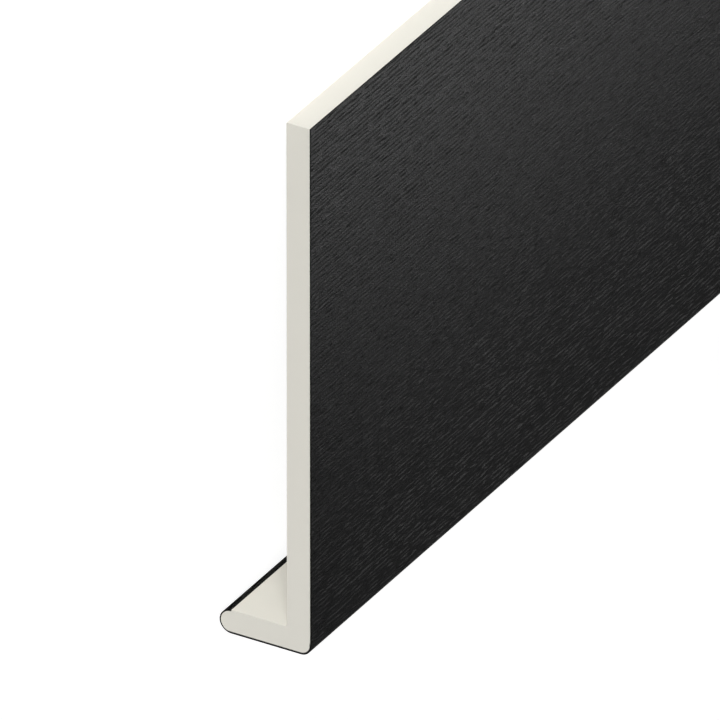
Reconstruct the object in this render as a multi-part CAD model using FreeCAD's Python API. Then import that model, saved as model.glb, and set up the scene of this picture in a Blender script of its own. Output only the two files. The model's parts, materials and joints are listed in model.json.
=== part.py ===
import FreeCAD, Part
import math
import os

# Driving dimensions, in millimetres.
# The section is the one of a capping fascia: a tall board with a short return leg at its foot.
length = 2500.0
face_height = 200.0
leg_depth = 35.0
board_thickness = 8.8
leg_thickness = 9.0
foil_thickness = 0.5
corner_radius = 4.0
inner_radius = 0.6

# The section's own axes: X runs from the back face to the woodgrain face, Z from the underside to
# the top edge. Y is the length. The back face is at X = 0 and the underside at Z = 0.
face_x = board_thickness + foil_thickness
nose_radius = leg_thickness / 2.0
nose_x = face_x - leg_depth + nose_radius

# The board lies with its woodgrain face up, on the nose of its leg and the back of its top edge.
# The line that touches both slopes by this much, and that is the angle at which the board rests.
reach_to_nose = math.hypot(nose_x, face_height - nose_radius)
slope_to_nose = math.atan2(-nose_x, face_height - nose_radius)
rest_tilt = math.degrees(slope_to_nose + math.asin(nose_radius / reach_to_nose))
face_up_turn = -(90.0 + rest_tilt)


def point(x, z):
    """A point of the section, which is drawn in the plane of the near cut end."""
    return FreeCAD.Vector(x, 0.0, z)


def line(start, end):
    return Part.LineSegment(start, end).toShape()


def arc(centre, radius, start_angle, end_angle):
    """An arc of the section, from one angle to another in degrees, by way of their middle."""
    def at(angle):
        turn = math.radians(angle)
        return centre + point(radius * math.cos(turn), radius * math.sin(turn))
    return Part.Arc(at(start_angle), at((start_angle + end_angle) / 2.0), at(end_angle)).toShape()


def extrude_section(edges):
    """Runs a closed outline along the whole length, as the die and the saw leave it."""
    outline = Part.Wire(edges)
    return Part.Face(outline).extrude(FreeCAD.Vector(0.0, length, 0.0))


def skin_line(inset):
    """The open line that the foil follows, drawn inset from the outer surface: down the face, round
    the bottom corner, along the underside and round the nose to the top of the leg."""
    corner_centre = point(face_x - corner_radius, corner_radius)
    nose_centre = point(nose_x, nose_radius)
    face_line = face_x - inset
    return [
        line(point(face_line, face_height), point(face_line, corner_radius)),
        arc(corner_centre, corner_radius - inset, 0.0, -90.0),
        line(point(face_x - corner_radius, inset), point(nose_x, inset)),
        arc(nose_centre, nose_radius - inset, 270.0, 90.0),
    ]


def foam_board():
    """The foamed board and its leg in one extrusion, with a step at the top of the nose in which
    the foil ends flush."""
    step_foot = point(nose_x, leg_thickness - foil_thickness)
    step_head = point(nose_x, leg_thickness)
    fillet_start = point(-inner_radius, leg_thickness)
    fillet_centre = point(-inner_radius, leg_thickness + inner_radius)
    fillet_end = point(0.0, leg_thickness + inner_radius)
    back_top = point(0.0, face_height)
    front_top = point(board_thickness, face_height)
    inner_side = [
        line(step_foot, step_head),
        line(step_head, fillet_start),
        arc(fillet_centre, inner_radius, -90.0, 0.0),
        line(fillet_end, back_top),
        line(back_top, front_top),
    ]
    return extrude_section(skin_line(foil_thickness) + inner_side)


def woodgrain_foil():
    """The foil as a band of even thickness on the outside of the board."""
    nose_end = line(point(nose_x, leg_thickness), point(nose_x, leg_thickness - foil_thickness))
    top_end = line(point(board_thickness, face_height), point(face_x, face_height))
    back_up = list(reversed(skin_line(foil_thickness)))
    return extrude_section(skin_line(0.0) + [nose_end] + back_up + [top_end])


def lay_down(shapes):
    """Turns the section face up at its resting angle, and puts the origin on the floor under the
    middle of the whole board."""
    axis = FreeCAD.Vector(0.0, 1.0, 0.0)
    centre = FreeCAD.Vector(0.0, 0.0, 0.0)
    turned = [shape.rotated(centre, axis, face_up_turn) for shape in shapes]
    whole = FreeCAD.BoundBox()
    for shape in turned:
        whole.add(shape.optimalBoundingBox(False, False))
    to_floor = FreeCAD.Vector(-whole.Center.x, -whole.Center.y, -whole.ZMin)
    return [shape.translated(to_floor) for shape in turned]


os.makedirs("parts", exist_ok=True)
names = ["board", "woodgrain_foil"]
for name, shape in zip(names, lay_down([foam_board(), woodgrain_foil()])):
    shape.exportStep(f"parts/{name}.step")
    box = shape.optimalBoundingBox(False, False)
    print(name, "valid", shape.isValid(), "volume", round(shape.Volume, 1))
    print("  lowest corner", round(box.XMin, 3), round(box.YMin, 3), round(box.ZMin, 3))
    print("  highest corner", round(box.XMax, 3), round(box.YMax, 3), round(box.ZMax, 3))
print("resting tilt in degrees", round(rest_tilt, 4))
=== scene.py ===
import json
import math

import bpy
from mathutils import Matrix, Vector

# All lengths are in metres. The board lies face up on the floor, and its own axes come from the
# record's mounts: thickness out of the woodgrain face, length from the near end, upright to the
# top edge.
MM = 0.001

# The sizes of the part that the camera and the looks are placed by.
face_height = 200.0 * MM
face_depth = 9.3 * MM
corner_radius = 4.0 * MM
foil_thickness = 0.5 * MM

# The photograph's view of the board, turned about the board's own axes, in degrees. The camera aims
# at the point of the woodgrain face that is in the middle of the picture.
view_azimuth = 30.27
view_elevation = 30.26
camera_distance = 11.15
camera_lens = 1700.0
camera_sensor = 36.0
camera_clip_start = 1.0
camera_clip_end = 100.0
aim_from_near_end = 31.7 * MM
aim_above_underside = 97.2 * MM

# The light from all round. A strength of 1 is the one at which a colour shows as it is written. The
# world is brightest towards the near left and dim towards the far right, which the face mirrors.
# The edges say where it starts to brighten and where it is brightest, as cosines to the bright side.
bright_side = Vector((-0.88, -0.45, 0.20))
bright_edges = (-0.4, 0.9)
bright_strength = 0.392
dim_strength = 0.072

# Far soft lamps: the way to each, its width in degrees and its strength. Gloss doesn't show them.
far_lamp_distance = 10.0
far_lamps = {
    "key_lamp": (Vector((-0.80, -0.60, 0.13)), 25.0, 0.92),
    "far_end_lamp": (Vector((0.0, 0.99, 0.12)), 40.0, 0.60),
}

# Long soft lamps beside the board, placed in its own axes from the near end's lower back corner:
# over the back face, from the near end and above the underside. They are turned towards the top
# edge by their tilt. A lamp is seen in the gloss alone, or it lights without gloss.
long_lamps = {
    "sheen_lamp": {
        "place": (0.260, 1.34, 0.120), "tilt": 51.0, "size": (2.4, 0.22),
        "spread": 180.0, "radiance": 2.3, "gloss_alone": True,
    },
    "foot_lamp": {
        "place": (0.110, 1.27, -0.080), "tilt": 54.0, "size": (2.5, 0.10),
        "spread": 80.0, "radiance": 0.85, "gloss_alone": False,
    },
}

# The floor: its grey as the part meets it, and what the camera sees, a fainter grey with white added.
# The two together show as white, so that next to nothing of the board's shadow is seen.
floor_size = 60.0
floor_grey = 0.8
floor_shown_grey = 0.35
floor_strength = 0.9

# The refractive index of both plastics.
plastic_ior = 1.45

# The woodgrain's lines repeat by their spacing along a slanted way, which crosses the grain on the
# face and on the underside alike. On the face itself they lie a quarter further apart.
slanted_way = (0.7071, 0.0, 0.7071)
line_spacing = 1.30 * MM

# The noises of the woodgrain, each with its size across the grain and along it. The drift moves the
# lines together and apart, the streaks roughen them, the breaks cut them into dashes, the tone
# says which pores are lighter, and the fine noise roughens the ground.
drift_size = (3.0 * MM, 30.0 * MM)
streak_size = (0.3 * MM, 4.0 * MM)
break_size = (0.6 * MM, 3.5 * MM)
tone_size = (0.5 * MM, 4.0 * MM)
fine_size = (0.3 * MM, 0.8 * MM)

# How far the drift turns the wave of the lines, in radians, and how much the streaks add to it.
drift_turn = 10.0
streak_share = 2.5

# Where a pore begins and is whole in the lines and in the breaks, and where it turns lighter in the
# tone.
line_edges = (0.1, 0.6)
break_edges = (0.36, 0.46)
tone_edges = (0.37, 0.47)

# The depth of the pores, and the heights of the fine noise and of the lines as shares of it.
pore_depth = 0.24 * MM
fine_height = 0.8
line_height = 0.1

# The foil's ground and its pores.
ground_grey = 0.005
pore_grey = 0.034
ground_roughness = 0.38
pore_roughness = 0.95
ground_shine = 0.5
pore_shine = 0.34

# Round the foot the foil has this share of its shine, and its pores are painted dark as painted
# shade. The edges tell the foot from the face, as cosines to the way out of the face.
foot_shine_share = 0.2
face_edges = (0.3, 0.95)

# The foam: two close shades in soft clouds, and its fine roughness.
foam_color = (0.880, 0.858, 0.779, 1.0)
foam_cloud_color = (0.868, 0.846, 0.768, 1.0)
foam_cloud_size = (12.0 * MM, 30.0 * MM)
foam_fine_size = (0.5 * MM, 0.8 * MM)
foam_roughness = 0.5
foam_bump_strength = 0.3
foam_bump_depth = 0.03 * MM

# A line of painted shade beside the foil on a cut end, from its faint edge to its dark one. It fades
# out above the corner, and the edges tell a cut end from the long sides, as cosines to the length.
edge_shade_faint = 0.34 * MM
edge_shade_dark = 0.14 * MM
edge_shade_grey = 0.03
edge_shade_fade = 2.0 * MM
cut_end_edges = (0.8, 0.95)


def board_axes(record):
    """The board's axes in the room: out of the face, along the length, and up to the top edge."""
    mounts = {mount["name"]: mount for mount in record["mounts"]}
    out_of_face = -Vector(mounts["back_face"]["axis"]).normalized()
    along = Vector(mounts["far_end"]["axis"]).normalized()
    upright = Vector(mounts["top_edge"]["axis"]).normalized()
    return out_of_face, along, upright


def board_origin(record, axes):
    """The near end's corner between the plane of the back face and that of the underside."""
    out_of_face, along, upright = axes
    mounts = {mount["name"]: mount for mount in record["mounts"]}
    back = Vector(mounts["back_face"]["pos_m"]).dot(out_of_face)
    near = Vector(mounts["near_end"]["pos_m"]).dot(along)
    top = Vector(mounts["top_edge"]["pos_m"]).dot(upright)
    return out_of_face * back + along * near + upright * (top - face_height)


def grey(level):
    """A neutral colour."""
    return (level, level, level, 1.0)


class Nodes:
    """A short way to write a node tree: each call adds a node and fills its inputs."""

    def __init__(self, tree):
        self.tree = tree
        tree.nodes.clear()

    def add(self, kind, inputs=None, **settings):
        """A new node. Its inputs, by name or number, are linked to sockets or set to values."""
        node = self.tree.nodes.new(kind)
        for name, value in settings.items():
            setattr(node, name, value)
        for name, value in (inputs or {}).items():
            socket = node.inputs[name]
            if isinstance(value, bpy.types.NodeSocket):
                self.tree.links.new(value, socket)
            else:
                socket.default_value = value
        return node

    def math(self, operation, *values):
        return self.add("ShaderNodeMath", dict(enumerate(values)), operation=operation).outputs[0]

    def dot(self, first, second):
        inputs = {0: first, 1: second}
        return self.add("ShaderNodeVectorMath", inputs, operation="DOT_PRODUCT").outputs["Value"]

    def ramp(self, value, edges, ends=(0.0, 1.0)):
        """A smooth step between two edges of a value, as a number between two ends."""
        inputs = {
            "Value": value, "From Min": edges[0], "From Max": edges[1],
            "To Min": ends[0], "To Max": ends[1]}
        node = self.add("ShaderNodeMapRange", inputs, interpolation_type="SMOOTHSTEP")
        return node.outputs["Result"]

    def mix(self, factor, first, second):
        """A colour between two others. The node's inputs 6 and 7 and its output 2 are colours."""
        inputs = {0: factor, 6: first, 7: second}
        return self.add("ShaderNodeMix", inputs, data_type="RGBA").outputs[2]

    def noise(self, size, offset=(0.0, 0.0, 0.0), detail=0.0):
        """Noise fixed to the part, with a size across the grain and one along it."""
        across, along = size
        place = self.add("ShaderNodeTexCoord").outputs["Object"]
        scale = (1 / across, 1 / along, 1 / across)
        inputs = {"Vector": place, "Location": offset, "Scale": scale}
        vector = self.add("ShaderNodeMapping", inputs).outputs["Vector"]
        inputs = {"Vector": vector, "Scale": 1.0, "Detail": detail}
        return self.add("ShaderNodeTexNoise", inputs).outputs["Fac"]

    def bump(self, height, strength, depth):
        inputs = {"Height": height, "Strength": strength, "Distance": depth}
        return self.add("ShaderNodeBump", inputs).outputs["Normal"]


def new_material(name):
    """A new material and the writer of its node tree."""
    material = bpy.data.materials.new(name)
    material.use_nodes = True
    return material, Nodes(material.node_tree)


def woodgrain_material(out_of_face):
    """Black foil pressed with the pores of wood: even straight lines that drift a little apart and
    together, cut into dashes. The pores are matt and a shade lighter, so that they show light where
    the satin ground is dark, and dark where it shines."""
    material, nodes = new_material("woodgrain_foil")
    place = nodes.add("ShaderNodeTexCoord").outputs["Object"]
    across = nodes.dot(place, slanted_way)
    turns = nodes.math("MULTIPLY", across, 2 * math.pi / line_spacing)
    drift = nodes.noise(drift_size, (2.0, 4.0, 6.0), detail=1.0)
    wave = nodes.math("SINE", nodes.math("MULTIPLY_ADD", drift, drift_turn, turns))
    streaks = nodes.noise(streak_size, (3.0, 8.0, 5.0))
    lines = nodes.math("MULTIPLY_ADD", nodes.math("SUBTRACT", streaks, 0.5), streak_share, wave)
    breaks = nodes.noise(break_size, (7.0, 3.0, 1.0))
    pores = nodes.math("MULTIPLY", nodes.ramp(lines, line_edges), nodes.ramp(breaks, break_edges))

    fine = nodes.noise(fine_size, (5.0, 2.0, 9.0))
    height = nodes.math("MULTIPLY_ADD", pores, -1.0, nodes.math("MULTIPLY", fine, fine_height))
    height = nodes.math("MULTIPLY_ADD", lines, -line_height, height)

    # Some pores stay as dark as the ground. Round the foot all pores are painted as dark as the
    # ground, as painted shade, and the foil shines less there.
    tone = nodes.noise(tone_size, (4.0, 9.0, 2.0))
    facing = nodes.dot(nodes.add("ShaderNodeNewGeometry").outputs["Normal"], out_of_face)
    lighter_off_painted_foot = nodes.math("MULTIPLY", nodes.ramp(tone, tone_edges), nodes.ramp(facing, face_edges))
    shade = nodes.math("MULTIPLY", pores, lighter_off_painted_foot)
    whole_range = (0.0, 1.0)
    shine = nodes.math(
        "MULTIPLY",
        nodes.ramp(pores, whole_range, (ground_shine, pore_shine)),
        nodes.ramp(facing, face_edges, (foot_shine_share, 1.0)))

    shader = nodes.add("ShaderNodeBsdfPrincipled", {
        "Base Color": nodes.mix(shade, grey(ground_grey), grey(pore_grey)),
        "Roughness": nodes.ramp(pores, whole_range, (ground_roughness, pore_roughness)),
        "Specular IOR Level": shine,
        "Normal": nodes.bump(height, 1.0, pore_depth),
        "IOR": plastic_ior})
    nodes.add("ShaderNodeOutputMaterial", {"Surface": shader.outputs["BSDF"]})
    return material


def painted_edge_shade(nodes, origin, axes):
    """How much painted shade darkens a cut end beside the foil round its foot, from 0 to 1."""
    out_of_face, along, upright = axes
    place = nodes.add("ShaderNodeTexCoord").outputs["Object"]
    normal = nodes.add("ShaderNodeNewGeometry").outputs["Normal"]
    # The line follows the foil's inner side round the corner's centre, and straight on along the
    # underside.
    centre = origin + out_of_face * (face_depth - corner_radius) + upright * corner_radius
    outward = nodes.math("SUBTRACT", nodes.dot(place, out_of_face), centre.dot(out_of_face))
    downward = nodes.math("SUBTRACT", centre.dot(upright), nodes.dot(place, upright))
    squares = []
    for way in (outward, downward):
        side = nodes.math("MAXIMUM", way, 0.0)
        squares.append(nodes.math("MULTIPLY", side, side))
    from_centre = nodes.math("SQRT", nodes.math("ADD", *squares))
    foil_inside = corner_radius - foil_thickness
    beside = nodes.ramp(from_centre, (foil_inside - edge_shade_faint, foil_inside - edge_shade_dark))
    foot = nodes.ramp(downward, (-edge_shade_fade, 0.0))
    cut_end = nodes.ramp(nodes.math("ABSOLUTE", nodes.dot(normal, along)), cut_end_edges)
    return nodes.math("MULTIPLY", beside, nodes.math("MULTIPLY", foot, cut_end))


def foam_material(origin, axes):
    """Cream foamed plastic, faintly clouded and rough, with a line of painted shade beside the foil
    on its cut ends.
    """
    material, nodes = new_material("foamed_pvc")
    clouds = nodes.noise(foam_cloud_size, detail=3.0)
    color = nodes.mix(clouds, foam_color, foam_cloud_color)
    # Painted shade: the cut end is darkened beside the foil round the foot.
    color = nodes.mix(painted_edge_shade(nodes, origin, axes), color, grey(edge_shade_grey))
    fine = nodes.noise(foam_fine_size, detail=2.0)
    shader = nodes.add("ShaderNodeBsdfPrincipled", {
        "Base Color": color,
        "Roughness": foam_roughness,
        "Normal": nodes.bump(fine, foam_bump_strength, foam_bump_depth),
        "IOR": plastic_ior})
    nodes.add("ShaderNodeOutputMaterial", {"Surface": shader.outputs["BSDF"]})
    return material


def dress(node, material):
    """Gives a node of the part its material and leaves its mesh as it is."""
    node.data.materials.clear()
    node.data.materials.append(material)


def floor_material():
    """A pale matt floor. The camera sees it white, with only a trace of its shadow."""
    material, nodes = new_material("studio_floor")
    paper = nodes.add("ShaderNodeBsdfDiffuse", {"Color": grey(floor_grey)})
    faint = nodes.add("ShaderNodeBsdfDiffuse", {"Color": grey(floor_shown_grey)})
    white = nodes.add("ShaderNodeEmission", {"Color": grey(1.0), "Strength": floor_strength})
    shown = nodes.add("ShaderNodeAddShader", {0: faint.outputs[0], 1: white.outputs[0]})
    camera = nodes.add("ShaderNodeLightPath").outputs["Is Camera Ray"]
    inputs = {0: camera, 1: paper.outputs[0], 2: shown.outputs[0]}
    surface = nodes.add("ShaderNodeMixShader", inputs)
    nodes.add("ShaderNodeOutputMaterial", {"Surface": surface.outputs[0]})
    return material


def make_floor():
    bpy.ops.mesh.primitive_plane_add(size=floor_size)
    floor = bpy.context.object
    floor.name = "studio_floor"
    floor.data.materials.append(floor_material())


def make_world():
    """Light from all round, bright towards the near left and dim towards the far right. The camera
    sees it white."""
    world = bpy.data.worlds.new("studio")
    world.use_nodes = True
    bpy.context.scene.world = world
    nodes = Nodes(world.node_tree)
    direction = nodes.add("ShaderNodeTexCoord").outputs["Generated"]
    facing = nodes.dot(direction, bright_side.normalized())
    strength = nodes.ramp(facing, bright_edges, (dim_strength, bright_strength))
    lit = nodes.add("ShaderNodeBackground", {"Color": grey(1.0), "Strength": strength})
    white = nodes.add("ShaderNodeBackground", {"Color": grey(1.0), "Strength": 1.0})
    camera = nodes.add("ShaderNodeLightPath").outputs["Is Camera Ray"]
    inputs = {0: camera, 1: lit.outputs[0], 2: white.outputs[0]}
    surface = nodes.add("ShaderNodeMixShader", inputs)
    nodes.add("ShaderNodeOutputWorld", {"Surface": surface.outputs[0]})


def looking(place, backward, right):
    """The matrix of a thing at a place, whose +Z points backward and whose +X is near right."""
    across = (right - backward * right.dot(backward)).normalized()
    upward = backward.cross(across)
    matrix = Matrix((across, upward, backward)).transposed().to_4x4()
    matrix.translation = place
    return matrix


def make_camera(origin, axes):
    """A camera so far off that its view is nearly parallel, as the photograph's is."""
    out_of_face, along, upright = axes
    azimuth = math.radians(view_azimuth)
    elevation = math.radians(view_elevation)
    level = math.sin(azimuth) * out_of_face - math.cos(azimuth) * along
    backward = math.cos(elevation) * level
    backward = backward + math.sin(elevation) * upright
    right = math.cos(azimuth) * out_of_face + math.sin(azimuth) * along
    aim = origin + out_of_face * face_depth
    aim = aim + along * aim_from_near_end + upright * aim_above_underside
    data = bpy.data.cameras.new("camera")
    data.lens = camera_lens
    data.sensor_width = camera_sensor
    data.clip_start = camera_clip_start
    data.clip_end = camera_clip_end
    camera = bpy.data.objects.new("camera", data)
    bpy.context.scene.collection.objects.link(camera)
    camera.matrix_world = looking(aim + backward * camera_distance, backward, right)
    bpy.context.scene.camera = camera


def add_lamp(name, kind, matrix, energy, **settings):
    """A lamp that the camera doesn't see."""
    data = bpy.data.lights.new(name, kind)
    data.energy = energy
    for setting, value in settings.items():
        setattr(data, setting, value)
    lamp = bpy.data.objects.new(name, data)
    bpy.context.scene.collection.objects.link(lamp)
    lamp.matrix_world = matrix
    lamp.visible_camera = False
    return lamp


def make_far_lamps():
    for name, (direction, width, strength) in far_lamps.items():
        way = direction.normalized()
        sideways = Vector((-way.y, way.x, 0.0))
        matrix = looking(way * far_lamp_distance, way, sideways)
        lamp = add_lamp(name, "SUN", matrix, strength * math.pi, angle=math.radians(width))
        lamp.visible_glossy = False


def make_long_lamps(origin, axes):
    out_of_face, along, upright = axes
    for name, values in long_lamps.items():
        over, from_near_end, above = values["place"]
        length, width = values["size"]
        place = origin + out_of_face * over + along * from_near_end + upright * above
        tilt = math.radians(values["tilt"])
        lit_way = -math.cos(tilt) * out_of_face + math.sin(tilt) * upright
        power = values["radiance"] * math.pi * length * width
        lamp = add_lamp(
            name, "AREA", looking(place, -lit_way, along), power,
            shape="RECTANGLE", size=length, size_y=width, spread=math.radians(values["spread"]))
        lamp.visible_diffuse = not values["gloss_alone"]
        lamp.visible_glossy = values["gloss_alone"]


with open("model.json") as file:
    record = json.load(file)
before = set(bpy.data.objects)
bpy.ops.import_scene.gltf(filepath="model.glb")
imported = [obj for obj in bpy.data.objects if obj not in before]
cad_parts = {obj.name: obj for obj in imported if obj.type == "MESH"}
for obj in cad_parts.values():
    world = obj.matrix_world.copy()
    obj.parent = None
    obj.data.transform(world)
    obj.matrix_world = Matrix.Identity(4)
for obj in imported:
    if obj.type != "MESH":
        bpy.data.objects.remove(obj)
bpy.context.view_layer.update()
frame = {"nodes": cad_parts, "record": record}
record = frame["record"]
axes = board_axes(record)
origin = board_origin(record, axes)

dress(frame["nodes"]["board"], foam_material(origin, axes))
dress(frame["nodes"]["woodgrain_foil"], woodgrain_material(axes[0]))

make_floor()
make_world()
make_camera(origin, axes)
make_far_lamps()
make_long_lamps(origin, axes)

scene = bpy.context.scene
scene.view_settings.view_transform = "Standard"
